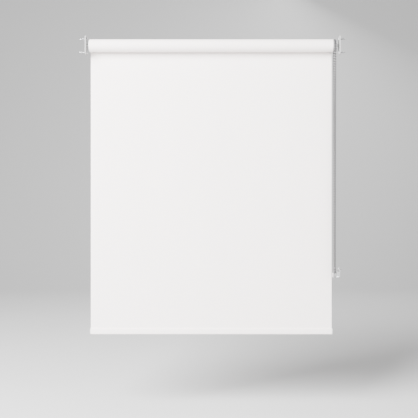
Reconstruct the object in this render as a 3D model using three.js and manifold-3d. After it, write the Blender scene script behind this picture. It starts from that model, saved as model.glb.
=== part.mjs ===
// Roller blind for a window recess, in millimetres.
// X runs along the roller from the idle side to the drive side, Y points to the window, Z up.
// The origin is on the roller axis, on the mounting face of the drive-side bracket.
import * as THREE from "three";
import { mergeVertices } from "three/addons/utils/BufferGeometryUtils.js";
import Module from "manifold-3d";

const wasm = await Module();
wasm.setup();

// ---- driving sizes ----
const RECESS_WIDTH = 590; // between the mounting faces of the two brackets
const DROP = 673; // roller axis to the lowest edge of the hem

const GAP = 0.3; // between pieces that are fixed to each other
const CLOTH_GAP = 0.1; // between the cloth and what it lies on
const RUNNING = 0.25; // radial gap where one piece turns on another

const TUBE_R = 14;
const TUBE_WALL = 1;
const CLOTH = 0.38;
const SAFETY_WRAPS = 2; // turns of cloth left on the tube at the end of the drop

const PITCH = 6; // bead to bead
const BEAD_R = 2.25;
const POCKETS = 14;
const BEADS = 186; // in the whole loop
const LOOP_END_R = 5; // radius of the loop's lower bend

const PLATE = 1.6; // bracket thickness
const PLATE_WIDTH = 30;
const PLATE_HEIGHT = 44;
const SCREW_SPACING = 31;
const STUB = 6; // side of the square stub
const STUB_SHOWN = 4.8; // length of stub between the plate and the hub
const STUB_HELD = 9.8; // length of stub in the hub
const SCREW_R = 1.75;
const SCREW_HEAD_R = 3.5;
const SCREW_LENGTH = 16;

const HUB_R = 6;
const HUB_FLANGE = 1.3;
const WRAP_SPRINGS = 3;
const WRAP_COILS = 4; // less the part of a turn between the two tangs
const WIRE_R = 0.6;
const FINGER = 1.6; // thickness of the chain wheel's finger
const LIP = 1; // flange of each fitting at the tube's ends
const FINGER_HALF = 35; // degrees, half the width of the chain wheel's finger
const TANG_ZONE = 14; // degrees between the finger and the crown's dog
const DOG_WIDTH = 36; // degrees

const PIN_R = 2.5;
const BOSS = 3; // height of the idle bracket's boss over its plate
const NOSE = 1.7; // length of the idle plug's nose
const PIN_WIRE_R = 0.35;
const PIN_COILS = 9;

const BAR_HEIGHT = 14; // over the hem pocket
const BAR_DEPTH = 5.2;
const BAR_WALL = 0.8;
const CAP = 1.2; // end plate of the bottom bar's caps

const ROUND = 72; // facets of the tube and of what fits on or in it
const SMALL_ROUND = 40;

// ---- sizes that follow from them ----
const HUB_FACE = -PLATE - STUB_SHOWN;
const WHEEL_X1 = HUB_FACE - HUB_FLANGE - GAP;
const WHEEL_HALF = BEAD_R + 1.25;
const CHAIN_X = WHEEL_X1 - WHEEL_HALF;
const WHEEL_X0 = CHAIN_X - WHEEL_HALF;
const LIP_X1 = WHEEL_X0 - GAP;
const TUBE_X1 = LIP_X1 - LIP - GAP;
const IDLE = -RECESS_WIDTH;
const BOSS_END = IDLE + PLATE + BOSS;
const NOSE_X = BOSS_END + 1.8;
const PLUG_FACE = NOSE_X + NOSE + LIP;
const TUBE_X0 = PLUG_FACE + GAP;
const ROLL_R = TUBE_R + CLOTH_GAP + SAFETY_WRAPS * CLOTH;
const PANEL_Y = ROLL_R - CLOTH / 2;
const SLEEVE_R = TUBE_R - TUBE_WALL - GAP;
const FINGER_IN = HUB_R + 2 * WIRE_R + 0.8;
const BORE_R = FINGER_IN + FINGER + 0.4; // inside of the drive crown
const CHANNEL_WIDTH = 4.8;
const CHANNEL_R = TUBE_R - TUBE_WALL - 2.05; // inner face of the tube's channel
const WHEEL_R = (POCKETS * PITCH) / (2 * Math.PI);
const HEM_TOP = BAR_HEIGHT - DROP;

// ---- tools ----
const degrees = THREE.MathUtils.degToRad;

// A three.js geometry as a manifold-3d solid, facing out.
function solid(geometry) {
  const bare = new THREE.BufferGeometry();
  bare.setAttribute("position", geometry.getAttribute("position"));
  bare.setIndex(geometry.getIndex());
  const merged = mergeVertices(bare, 1e-4);
  const faces = [];
  const index = merged.getIndex().array;
  for (let i = 0; i < index.length; i += 3) {
    const [a, b, c] = index.subarray(i, i + 3);
    if (a !== b && b !== c && c !== a) faces.push(a, b, c);
  }
  const build = (triVerts) =>
    new wasm.Manifold(
      new wasm.Mesh({
        numProp: 3,
        vertProperties: merged.getAttribute("position").array,
        triVerts: new Uint32Array(triVerts),
      }),
    );
  const made = build(faces);
  return made.volume() < 0 ? build(faces.reverse()) : made;
}

const cutAll = (from, tools) => tools.reduce((a, b) => a.subtract(b), from);
const joinAll = (pieces) => pieces.reduce((a, b) => a.add(b));

function box(x0, x1, y0, y1, z0, z1) {
  const geometry = new THREE.BoxGeometry(x1 - x0, y1 - y0, z1 - z0);
  return solid(geometry.translate((x0 + x1) / 2, (y0 + y1) / 2, (z0 + z1) / 2));
}

// A profile of [x, radius] points turned about the roller axis. It closes on the axis or on itself.
function turned(profile, segments = SMALL_ROUND) {
  const points = profile.map(([x, r]) => new THREE.Vector2(r, x));
  if (profile[0][1] > 0) points.push(points[0].clone());
  return solid(new THREE.LatheGeometry(points, segments).rotateZ(-Math.PI / 2));
}

const ring = (x0, x1, inner, outer, segments) =>
  turned([[x0, inner], [x1, inner], [x1, outer], [x0, outer]], segments);

const disc = (x0, x1, radius, segments) =>
  turned([[x0, 0], [x0, radius], [x1, radius], [x1, 0]], segments);

// An outline drawn in Y and Z, pushed along X.
function along(shape, x0, x1, curveSegments = 8) {
  const geometry = new THREE.ExtrudeGeometry(shape, {
    depth: x1 - x0,
    bevelEnabled: false,
    curveSegments,
  });
  const basis = new THREE.Matrix4().makeBasis(
    new THREE.Vector3(0, 1, 0),
    new THREE.Vector3(0, 0, 1),
    new THREE.Vector3(1, 0, 0),
  );
  return solid(geometry.applyMatrix4(basis).translate(x0, 0, 0));
}

function roundedRectangle(width, height, radius) {
  const y = width / 2;
  const z = height / 2;
  const r = Math.min(radius, y - 1e-3, z - 1e-3);
  const shape = new THREE.Shape();
  shape.absarc(y - r, z - r, r, 0, Math.PI / 2);
  shape.absarc(r - y, z - r, r, Math.PI / 2, Math.PI);
  shape.absarc(r - y, r - z, r, Math.PI, 1.5 * Math.PI);
  shape.absarc(y - r, r - z, r, 1.5 * Math.PI, 2 * Math.PI);
  shape.closePath();
  return shape;
}

function circleHole(y, z, radius) {
  return new THREE.Path().absarc(y, z, radius, 0, 2 * Math.PI);
}

// A piece of a ring, from one angle to another, in degrees from +Y towards +Z.
function sector(inner, outer, from, to) {
  const shape = new THREE.Shape();
  shape.absarc(0, 0, outer, degrees(from), degrees(to), false);
  shape.absarc(0, 0, inner, degrees(to), degrees(from), true);
  shape.closePath();
  return shape;
}

// A round section swept along points that are used as they stand, with closed ends.
class PointPath extends THREE.Curve {
  constructor(points) {
    super();
    this.points = points;
  }

  getPoint(t) {
    const place = t * (this.points.length - 1);
    const i = Math.min(Math.floor(place), this.points.length - 2);
    return this.points[i].clone().lerp(this.points[i + 1], place - i);
  }

  getPointAt(t) {
    return this.getPoint(t);
  }

  getTangentAt(t) {
    const step = 0.5 / (this.points.length - 1);
    const after = this.getPoint(Math.min(t + step, 1));
    return after.sub(this.getPoint(Math.max(t - step, 0))).normalize();
  }
}

function swept(points, radius, sides) {
  const section = new THREE.Shape().absarc(0, 0, radius, 0, 2 * Math.PI);
  return solid(
    new THREE.ExtrudeGeometry(section, {
      steps: points.length - 1,
      extrudePath: new PointPath(points),
      curveSegments: sides / 2,
    }),
  );
}

const root = new THREE.Group();
root.name = "roller_blind";

function add(name, body, colour, roughness, metalness = 0) {
  const { vertProperties, triVerts, numProp } = body.getMesh();
  const position = [];
  for (let i = 0; i < vertProperties.length; i += numProp) {
    position.push(...vertProperties.subarray(i, i + 3));
  }
  const geometry = new THREE.BufferGeometry();
  geometry.setAttribute("position", new THREE.Float32BufferAttribute(position, 3));
  geometry.setIndex([...triVerts]);
  const flat = geometry.toNonIndexed();
  flat.computeVertexNormals();
  const material = new THREE.MeshStandardMaterial({ color: colour, roughness, metalness });
  material.name = name;
  const mesh = new THREE.Mesh(flat, material);
  mesh.name = name;
  root.add(mesh);
}

// ---- brackets and their screws ----
function bracketPlate() {
  const outline = roundedRectangle(PLATE_WIDTH, PLATE_HEIGHT, 5);
  for (const side of [-1, 1]) {
    outline.holes.push(circleHole(0, (side * SCREW_SPACING) / 2, SCREW_R + GAP));
  }
  return outline;
}

// Head on the room side of x = face, shank towards +X.
function screw(face) {
  const head = face - 2.2;
  const tip = head + 2.2 + SCREW_LENGTH;
  const body = turned(
    [
      [head, 0],
      [head, SCREW_HEAD_R * 0.55],
      [head + 0.5, SCREW_HEAD_R * 0.88],
      [head + 1.3, SCREW_HEAD_R],
      [face, SCREW_HEAD_R],
      [face, SCREW_R],
      [tip - 3.5, SCREW_R],
      [tip, 0],
    ],
    24,
  );
  const slot = [0.45, SCREW_HEAD_R * 0.6];
  const recess = [slot, [...slot].reverse()].map(([y, z]) =>
    box(head - 1, head + 1.3, -y, y, -z, z),
  );
  return cutAll(body, recess);
}

const stub = box(HUB_FACE - STUB_HELD, -PLATE / 2, -STUB / 2, STUB / 2, -STUB / 2, STUB / 2);
add("drive_bracket", along(bracketPlate(), -PLATE, 0).add(stub), 0xe6e6e4, 0.45);

const boss = disc(IDLE + PLATE / 2, BOSS_END, PIN_R + 3);
const socket = disc(IDLE + 1, BOSS_END + 1, PIN_R + RUNNING);
const idlePlate = along(bracketPlate(), IDLE, IDLE + PLATE);
add("idle_bracket", idlePlate.add(boss).subtract(socket), 0xe6e6e4, 0.45);

for (const [word, side] of [["upper", 1], ["lower", -1]]) {
  const z = (side * SCREW_SPACING) / 2;
  const driveScrew = screw(-PLATE - CLOTH_GAP).translate([0, 0, z]);
  add("drive_screw_" + word, driveScrew, 0xb4b4b8, 0.35, 1);
  const idleScrew = screw(-PLATE - CLOTH_GAP).rotate([0, 0, 180]).translate([IDLE, 0, z]);
  add("idle_screw_" + word, idleScrew, 0xb4b4b8, 0.35, 1);
}

// ---- clutch ----
const COIL_PITCH = 2 * WIRE_R + 0.15;
const TANG_EDGE = FINGER_HALF + TANG_ZONE / 2;
const SPRING_SWEEP = 360 * WRAP_COILS - 2 * TANG_EDGE;
const SPRING_ROOM = (COIL_PITCH * SPRING_SWEEP) / 360 + 2 * WIRE_R + 0.65;
const DRUM_X0 = TUBE_X1 - WRAP_SPRINGS * SPRING_ROOM - 0.6;
const HUB_X0 = DRUM_X0 - 6.6;
const JOURNAL_R = HUB_R - 1;
const CLIP_X = HUB_X0 + 1.9;

const hub = turned([
  [HUB_X0, 0],
  [HUB_X0, JOURNAL_R],
  [CLIP_X - 0.5, JOURNAL_R],
  [CLIP_X - 0.5, JOURNAL_R - 1.1],
  [CLIP_X + 0.5, JOURNAL_R - 1.1],
  [CLIP_X + 0.5, JOURNAL_R],
  [DRUM_X0, JOURNAL_R],
  [DRUM_X0, HUB_R],
  [WHEEL_X1 + GAP, HUB_R],
  [WHEEL_X1 + GAP, HUB_R + 1.6],
  [HUB_FACE, HUB_R + 1.6],
  [HUB_FACE, 0],
]);
const half = STUB / 2 + GAP;
const hubSocket = box(HUB_FACE - STUB_HELD - 0.8, 0, -half, half, -half, half);
add("clutch_hub", hub.subtract(hubSocket), 0xdededc, 0.5);

const hubClip = ring(CLIP_X - 0.4, CLIP_X + 0.4, JOURNAL_R - 0.95, JOURNAL_R + 2.2);
const clipMouth = box(CLIP_X - 1, CLIP_X + 1, -1.6, 1.6, -2 * HUB_R, 0);
add("hub_clip", hubClip.subtract(clipMouth), 0x6c6c70, 0.4, 1);

// The finger of the wheel points down at rest, and the springs' tangs stand on either side of it.
const DOWN = -90;
const grooveFloor = WHEEL_R - BEAD_R - GAP;
const flange = WHEEL_R + 1;
const grooveHalf = BEAD_R + 0.2;
const wheelBody = turned(
  [
    [WHEEL_X0, HUB_R + RUNNING],
    [WHEEL_X1, HUB_R + RUNNING],
    [WHEEL_X1, flange],
    [CHAIN_X + grooveHalf + 0.4, flange],
    [CHAIN_X + grooveHalf, flange - 0.7],
    [CHAIN_X + grooveHalf, grooveFloor],
    [CHAIN_X - grooveHalf, grooveFloor],
    [CHAIN_X - grooveHalf, flange - 0.7],
    [CHAIN_X - grooveHalf - 0.4, flange],
    [WHEEL_X0, flange],
  ],
  POCKETS * 4,
);
const pockets = Array.from({ length: POCKETS }, (_, i) => {
  const angle = (i * 2 * Math.PI) / POCKETS;
  const ball = new THREE.SphereGeometry(BEAD_R + 0.65, 14, 10);
  ball.translate(CHAIN_X, WHEEL_R * Math.sin(angle), WHEEL_R * Math.cos(angle));
  return solid(ball);
});
const finger = along(
  sector(FINGER_IN, FINGER_IN + FINGER, DOWN - FINGER_HALF, DOWN + FINGER_HALF),
  DRUM_X0 + 1,
  WHEEL_X0 + 1,
);
add("chain_wheel", cutAll(wheelBody, pockets).add(finger), 0xd8d8d6, 0.5);

// Both fittings in the tube are keyed on the channel that runs along its top.
function keySlot(x0, x1) {
  const y = CHANNEL_WIDTH / 2 + GAP;
  return box(x0, x1, -y, y, CHANNEL_R - GAP, TUBE_R);
}

const CROWN_X0 = DRUM_X0 - 8;
const crownShell = turned(
  [
    [CROWN_X0, BORE_R],
    [DRUM_X0 - 3.7, BORE_R],
    [DRUM_X0 - 3.7, JOURNAL_R + RUNNING],
    [DRUM_X0 - GAP, JOURNAL_R + RUNNING],
    [DRUM_X0 - GAP, BORE_R],
    [LIP_X1, BORE_R],
    [LIP_X1, TUBE_R - 0.1],
    [TUBE_X1 + GAP, TUBE_R - 0.1],
    [TUBE_X1 + GAP, SLEEVE_R],
    [CROWN_X0, SLEEVE_R],
  ],
  ROUND,
);
const dogs = [-1, 1].map((side) => {
  const near = DOWN + side * (FINGER_HALF + TANG_ZONE);
  const far = near + side * DOG_WIDTH;
  const outline = sector(FINGER_IN - 0.1, BORE_R + 0.1, Math.min(near, far), Math.max(near, far));
  return along(outline, DRUM_X0 - 1, TUBE_X1 - 0.5);
});
const crown = joinAll([crownShell, ...dogs]).subtract(keySlot(CROWN_X0 - 1, TUBE_X1 + GAP));
add("drive_crown", crown, 0xcfcfcd, 0.5);

// A coil on the roller axis, with both ends turned out at the same angle either side of the finger.
function wrapSpring(centre) {
  const mean = HUB_R + 0.15 + WIRE_R;
  const steps = 54;
  const at = (angle, radius) => {
    const turn = degrees(DOWN + TANG_EDGE + angle);
    const x = centre + (COIL_PITCH * (angle - SPRING_SWEEP / 2)) / 360;
    return new THREE.Vector3(x, radius * Math.cos(turn), radius * Math.sin(turn));
  };
  const coil = Array.from({ length: steps + 1 }, (_, i) => at((SPRING_SWEEP * i) / steps, mean));
  const tip = BORE_R - 0.6;
  return swept([at(0, tip), ...coil, at(SPRING_SWEEP, tip)], WIRE_R, 6);
}

for (let i = 0; i < WRAP_SPRINGS; i++) {
  const centre = (TUBE_X1 + DRUM_X0) / 2 + SPRING_ROOM * ((WRAP_SPRINGS - 1) / 2 - i);
  add("wrap_spring_" + (i + 1), wrapSpring(centre), 0x8c8c90, 0.35, 1);
}

// ---- tube and the cloth on it ----
const channelY = CHANNEL_WIDTH / 2;
const channel = box(TUBE_X0, TUBE_X1, -channelY, channelY, CHANNEL_R, TUBE_R - 0.5);
const groove = box(TUBE_X0 - 1, TUBE_X1 + 1, -1.6, 1.6, CHANNEL_R + 0.75, TUBE_R - 0.85);
const mouth = box(TUBE_X0 - 1, TUBE_X1 + 1, -0.9, 0.9, TUBE_R - 1.5, TUBE_R + 1);
const pipe = ring(TUBE_X0, TUBE_X1, TUBE_R - TUBE_WALL, TUBE_R, ROUND);
add("roller_tube", cutAll(pipe.add(channel), [groove, mouth]), 0xc8c9cb, 0.35, 1);
const spline = box(TUBE_X0, TUBE_X1, -1.3, 1.3, CHANNEL_R + 1, TUBE_R - 1.1);
add("fabric_spline", spline, 0xf2f2ee, 0.6);
const wraps = ring(TUBE_X0, TUBE_X1, TUBE_R + CLOTH_GAP, ROLL_R, ROUND);
add("fabric_roll", wraps, 0xefedeb, 0.9);

// The panel leaves the roll at its window side, and starts where it has cleared the roll's curve.
const clear = PANEL_Y - CLOTH / 2 - CLOTH_GAP;
const PANEL_TOP = -Math.sqrt(ROLL_R ** 2 - clear ** 2);
const [front, back] = [PANEL_Y - CLOTH / 2, PANEL_Y + CLOTH / 2];
const panel = box(TUBE_X0, TUBE_X1, front, back, HEM_TOP + CLOTH_GAP, PANEL_TOP);
add("fabric_panel", panel, 0xefedeb, 0.9);

// ---- hem, bottom bar and its caps ----
function barSection(inset, x0, x1) {
  const width = BAR_DEPTH - 2 * inset;
  const height = BAR_HEIGHT - 2 * inset;
  const body = along(roundedRectangle(width, height, width / 2), x0, x1, 6);
  return body.translate([0, PANEL_Y, HEM_TOP - BAR_HEIGHT / 2]);
}

const pocketOuter = barSection(0, TUBE_X0, TUBE_X1);
const pocketHole = barSection(CLOTH, TUBE_X0 - 1, TUBE_X1 + 1);
const weldBack = back + CLOTH_GAP;
const weld = box(TUBE_X0, TUBE_X1, weldBack, weldBack + CLOTH, HEM_TOP - 0.3, HEM_TOP + 4);
add("hem_pocket", pocketOuter.add(weld).subtract(pocketHole), 0xf0eeec, 0.9);

const barInset = CLOTH + CLOTH_GAP;
const barOuter = barSection(barInset, TUBE_X0 + GAP, TUBE_X1 - GAP);
const barHole = barSection(barInset + BAR_WALL, TUBE_X0, TUBE_X1);
add("bottom_bar", barOuter.subtract(barHole), 0xd0d1d3, 0.35, 1);

function barCap(face, outward) {
  const plate = barSection(0, ...[face, face + outward * CAP].sort((a, b) => a - b));
  const inside = [face + outward * 0.5, face - outward * 12].sort((a, b) => a - b);
  return plate.add(barSection(barInset + BAR_WALL + GAP, ...inside));
}
add("bar_cap_drive", barCap(TUBE_X1 + GAP, 1), 0xeeeeec, 0.5);
add("bar_cap_idle", barCap(TUBE_X0 - GAP, -1), 0xeeeeec, 0.5);

// ---- idle end ----
const PLUG_END = TUBE_X0 + 30;
const CAVITY_R = PIN_R + 2;
const STEP = NOSE_X + 5.6; // where the pin's collar rests
const plugBody = turned(
  [
    [NOSE_X, PIN_R + RUNNING],
    [STEP, PIN_R + RUNNING],
    [STEP, CAVITY_R],
    [PLUG_END, CAVITY_R],
    [PLUG_END, CAVITY_R + 1.7],
    [STEP + 2, CAVITY_R + 1.7],
    [STEP + 2, BORE_R],
    [PLUG_END, BORE_R],
    [PLUG_END, SLEEVE_R],
    [PLUG_FACE, SLEEVE_R],
    [PLUG_FACE, TUBE_R - 0.1],
    [PLUG_FACE - LIP, TUBE_R - 0.1],
    [PLUG_FACE - LIP, PIN_R + 2.5],
    [NOSE_X, PIN_R + 2.5],
  ],
  ROUND,
);
add("idle_plug", plugBody.subtract(keySlot(PLUG_FACE, PLUG_END + 1)), 0xcfcfcd, 0.5);

const COLLAR_END = STEP + GAP + 2;
const idlePin = turned([
  [IDLE + 1.4, 0],
  [IDLE + 1.4, PIN_R - 0.6],
  [IDLE + 2, PIN_R],
  [STEP + GAP, PIN_R],
  [STEP + GAP, CAVITY_R - GAP],
  [COLLAR_END, CAVITY_R - GAP],
  [COLLAR_END, PIN_R - 0.9],
  [COLLAR_END + 7.5, PIN_R - 0.9],
  [COLLAR_END + 7.5, 0],
]);
add("idle_pin", idlePin, 0xc4c4c8, 0.3, 1);

const CAP_FACE = PLUG_END - 6;
const coilStart = COLLAR_END + PIN_WIRE_R;
const coilEnd = CAP_FACE - PIN_WIRE_R;
const coilSteps = PIN_COILS * 12;
const coilPoints = Array.from({ length: coilSteps + 1 }, (_, i) => {
  const turn = (2 * Math.PI * PIN_COILS * i) / coilSteps;
  const r = PIN_R + 0.7;
  const x = THREE.MathUtils.lerp(coilStart + 0.1, coilEnd - 0.1, i / coilSteps);
  return new THREE.Vector3(x, r * Math.cos(turn), r * Math.sin(turn));
});
add("idle_pin_spring", swept(coilPoints, PIN_WIRE_R, 6), 0x9a9a9e, 0.35, 1);

const plugCap = turned([
  [CAP_FACE, 0],
  [CAP_FACE, CAVITY_R - GAP],
  [PLUG_END + GAP, CAVITY_R - GAP],
  [PLUG_END + GAP, CAVITY_R + 1.5],
  [PLUG_END + GAP + 1.2, CAVITY_R + 1.5],
  [PLUG_END + GAP + 1.2, 0],
]);
add("idle_plug_cap", plugCap, 0xbcbcba, 0.5);

// ---- chain loop ----
// Two circles, the wheel and the lower bend, joined by two straight strands.
let bendDrop = (BEADS * PITCH) / 2;
let lean = 0;
let strand = 0;
for (let i = 0; i < 8; i++) {
  lean = Math.asin((WHEEL_R - LOOP_END_R) / bendDrop);
  const bends = WHEEL_R * (Math.PI + 2 * lean) + LOOP_END_R * (Math.PI - 2 * lean);
  strand = (BEADS * PITCH - bends) / 2;
  bendDrop = Math.hypot(strand, WHEEL_R - LOOP_END_R);
}
const BEND_Z = -bendDrop;

function onCircle(radius, centreZ, angle) {
  return new THREE.Vector3(CHAIN_X, radius * Math.cos(angle), centreZ + radius * Math.sin(angle));
}

const rearTop = onCircle(WHEEL_R, 0, -lean);
const rearFoot = onCircle(LOOP_END_R, BEND_Z, -lean);
const frontTop = onCircle(WHEEL_R, 0, Math.PI + lean);
const frontFoot = onCircle(LOOP_END_R, BEND_Z, Math.PI + lean);
const OPEN = 3; // the loop is closed by one short link in the rear strand
const linkTop = rearFoot.clone().lerp(rearTop, 0.5);
const upward = rearTop.clone().sub(rearFoot).normalize();
const linkFoot = linkTop.clone().addScaledVector(upward, -OPEN);

function between(from, to, steps) {
  return Array.from({ length: steps }, (_, i) => from.clone().lerp(to, i / steps));
}

function bend(radius, centreZ, from, to, steps) {
  return Array.from({ length: steps }, (_, i) => {
    return onCircle(radius, centreZ, from + ((to - from) * i) / steps);
  });
}

const loop = [
  ...between(linkTop, rearTop, 14),
  ...bend(WHEEL_R, 0, -lean, Math.PI + lean, 14),
  ...between(frontTop, frontFoot, 28),
  ...bend(LOOP_END_R, BEND_Z, Math.PI + lean, 2 * Math.PI - lean, 8),
  ...between(rearFoot, linkFoot, 14),
  linkFoot,
];
const linkEnds = [
  linkFoot.clone().addScaledVector(upward, -1.5),
  linkTop.clone().addScaledVector(upward, 1.5),
];
const link = swept(linkEnds, BEAD_R - 0.2, 8);
add("chain", swept(loop, BEAD_R, 8).add(link), 0xb6b5b6, 0.45);

const CONNECTOR = 13;
const connectorR = BEAD_R + 1.15;
const connectorHole = BEAD_R + GAP;
const shell = [
  [-CONNECTOR / 2, connectorHole],
  [CONNECTOR / 2, connectorHole],
  [CONNECTOR / 2, connectorR - 0.4],
  [CONNECTOR / 2 - 1.2, connectorR],
  [1.2 - CONNECTOR / 2, connectorR],
  [-CONNECTOR / 2, connectorR - 0.4],
];
const connectorPlace = rearFoot.clone().addScaledVector(upward, CONNECTOR / 2 + 1.2);
const connector = turned(shell, 24)
  .rotate([0, -90, 0])
  .rotate([-THREE.MathUtils.radToDeg(lean), 0, 0])
  .translate(connectorPlace.toArray());
add("chain_connector", connector, 0xd6d6d6, 0.35);

// ---- child-safety clip: a peg through the loop's lower bend, in a trough, on a plate ----
const CLIP_PLATE = 2.2;
const TROUGH_IN = LOOP_END_R + BEAD_R + 0.8;
const TROUGH_OUT = TROUGH_IN + 1.4;
const CHAIN_ROOM = BEAD_R + 1.45;
const STAND_OFF = CHAIN_X + CHAIN_ROOM;
const CHEEK = CHAIN_X - CHAIN_ROOM;
const CLIP_SCREW_Z = 9.5;
const platePart = new THREE.Shape();
platePart.absarc(0, 0, TROUGH_OUT, Math.PI, 2 * Math.PI);
platePart.absarc(TROUGH_OUT - 4, CLIP_SCREW_Z + 1, 4, 0, Math.PI / 2);
platePart.absarc(4 - TROUGH_OUT, CLIP_SCREW_Z + 1, 4, Math.PI / 2, Math.PI);
platePart.closePath();
platePart.holes.push(circleHole(0, CLIP_SCREW_Z, SCREW_R + GAP));
const lowerDisc = (rise) => {
  const outline = new THREE.Shape();
  const edge = Math.asin(rise / TROUGH_OUT);
  outline.absarc(0, 0, TROUGH_OUT, Math.PI - edge, 2 * Math.PI + edge);
  outline.closePath();
  return outline;
};
const clip = joinAll([
  along(platePart, -CLIP_PLATE, 0, 12),
  along(lowerDisc(4.5), STAND_OFF, -CLIP_PLATE / 2, 12),
  along(sector(TROUGH_IN, TROUGH_OUT, -180, 0), CHEEK - 0.5, STAND_OFF + 0.5, 12),
  along(lowerDisc(0.5), CHEEK - 1.4, CHEEK, 12),
  disc(CHEEK - 0.5, STAND_OFF + 0.5, LOOP_END_R - BEAD_R - 0.45, 24),
]).translate([0, 0, BEND_Z]);
add("safety_clip", clip, 0xdfe0e0, 0.3);
const clipScrew = screw(-CLIP_PLATE - CLOTH_GAP).translate([0, 0, BEND_Z + CLIP_SCREW_Z]);
add("safety_clip_screw", clipScrew, 0xb4b4b8, 0.35, 1);

export default root;
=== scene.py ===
"""A roller blind for a window recess, modelled piece by piece over its frame. Lengths are in metres."""

import math

import bmesh
import bpy
from mathutils import Matrix, Vector


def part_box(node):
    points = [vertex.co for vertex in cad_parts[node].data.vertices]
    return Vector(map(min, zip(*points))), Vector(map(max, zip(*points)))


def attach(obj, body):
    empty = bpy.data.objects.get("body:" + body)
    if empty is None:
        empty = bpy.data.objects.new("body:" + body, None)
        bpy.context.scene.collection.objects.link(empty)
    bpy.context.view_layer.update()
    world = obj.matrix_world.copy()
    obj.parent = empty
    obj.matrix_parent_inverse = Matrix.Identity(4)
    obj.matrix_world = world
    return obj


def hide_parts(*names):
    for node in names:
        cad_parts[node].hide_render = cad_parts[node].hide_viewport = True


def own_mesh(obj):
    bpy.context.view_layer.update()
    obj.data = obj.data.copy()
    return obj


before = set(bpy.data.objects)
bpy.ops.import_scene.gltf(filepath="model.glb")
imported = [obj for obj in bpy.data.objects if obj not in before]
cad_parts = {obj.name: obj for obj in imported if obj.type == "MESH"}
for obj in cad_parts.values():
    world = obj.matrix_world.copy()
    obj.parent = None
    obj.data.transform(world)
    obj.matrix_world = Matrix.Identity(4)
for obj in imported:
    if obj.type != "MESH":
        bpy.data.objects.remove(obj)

bl_info = {
    "name": "Roller Blind",
    "version": (1, 0, 0),
    "blender": (4, 5, 0),
    "location": "View3D > Sidebar > Roller Blind",
    "description": "Builds a roller blind with its bead chain, brackets and weighted hem",
    "category": "Add Mesh",
}

PANEL_LOW, PANEL_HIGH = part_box("fabric_panel")
HEM_LOW, HEM_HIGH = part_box("hem_pocket")
CHAIN_LOW, CHAIN_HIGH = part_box("chain")
LINK_LOW, LINK_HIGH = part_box("chain_connector")
PLATE_LOW, PLATE_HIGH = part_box("drive_bracket")
IDLE_LOW, IDLE_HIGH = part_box("idle_bracket")
CHAIN_X = (CHAIN_LOW.x + CHAIN_HIGH.x) / 2
CLOTH_Y = (PANEL_LOW.y + PANEL_HIGH.y) / 2
CLOTH_MIDDLE_X = (PANEL_LOW.x + PANEL_HIGH.x) / 2
CLOTH_WIDTH = PANEL_HIGH.x - PANEL_LOW.x
RECESS_MIDDLE_X = (IDLE_LOW.x + PLATE_HIGH.x) / 2
WELD_Z = HEM_HIGH.z - 0.002  # the welded line is 2 mm under the hem pocket's upper edge
SAME_POINT = 1e-6  # points nearer than this are one point
SLIVER = 2e-6  # edges shorter than this are left over from rounding


# ---- settings ----


def size(name, description, default):
    """A length that a user may change."""
    return bpy.props.FloatProperty(
        name=name, description=description, default=default, min=0, precision=5,
        subtype="DISTANCE", unit="LENGTH",
    )


def colour(name, description, default):
    """A colour that a user may change."""
    return bpy.props.FloatVectorProperty(
        name=name, description=description, default=default, min=0, max=1, size=3,
        subtype="COLOR",
    )


class BlindClothSettings(bpy.types.PropertyGroup):
    """The cloth of the blind"""

    thickness: size(
        "Thickness", "Thickness of the cloth", PANEL_HIGH.y - PANEL_LOW.y
    )
    thread: size("Thread", "Distance from one thread of the weave to the next", 0.00045)
    ripple: size("Ripple", "Depth of the slow waves in the hanging cloth", 0.0004)
    curl: size("Edge curl", "How far the cut side edges turn to the window", 0.0008)
    weld: size("Weld", "Width of the welded line above the hem pocket", 0.0016)
    colour: colour("Colour", "Colour of the cloth", (0.86, 0.803, 0.782))


class BlindChainSettings(bpy.types.PropertyGroup):
    """The bead chain"""

    bead: size("Bead", "Diameter of a bead", 0.0045)
    cord: size("Cord", "Diameter of the cord between the beads", 0.0012)
    pitch: size("Pitch", "Distance from one bead to the next", 0.006)
    bend: size("Lower bend", "Radius of the loop's lower bend", 0.005)
    pockets: bpy.props.IntProperty(
        name="Pockets", description="Pockets round the chain wheel", default=14, min=8
    )
    beads: bpy.props.IntProperty(
        name="Beads", description="Beads in the whole loop", default=186, min=20
    )
    colour: colour("Colour", "Colour of the beads", (0.054, 0.052, 0.054))
    connector: colour("Connector", "Colour of the connector", (0.24, 0.24, 0.245))


class BlindFittingSettings(bpy.types.PropertyGroup):
    """The brackets, screws, end fittings and bottom bar"""

    rounding: size("Rounding", "Radius left on the edges of pressed plates", 0.0003)
    moulding: size("Moulding", "Radius left on the edges of moulded pieces", 0.00018)
    plate_corner: size("Plate corner", "Radius of the bracket plates' corners", 0.005)
    # The brackets are white, but this paint colour is set grey: painted shade standing in for the shade of
    # the window recess they sit in.
    paint: colour("Paint", "Colour of the painted brackets", (0.34, 0.34, 0.336))
    plastic: colour("Plastic", "Colour of the white mouldings", (0.72, 0.72, 0.71))
    wheel: colour("Wheel", "Colour of the chain wheel", (0.30, 0.30, 0.305))
    dark_plastic: colour("Dark plastic", "Colour of the clutch's inner mouldings", (0.30, 0.30, 0.31))
    clip: colour("Clip", "Colour of the clear safety clip", (0.70, 0.705, 0.71))
    steel: colour("Steel", "Colour of the screws and springs", (0.56, 0.56, 0.57))
    aluminium: colour("Aluminium", "Colour of the tube and the bar", (0.66, 0.67, 0.68))


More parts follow.
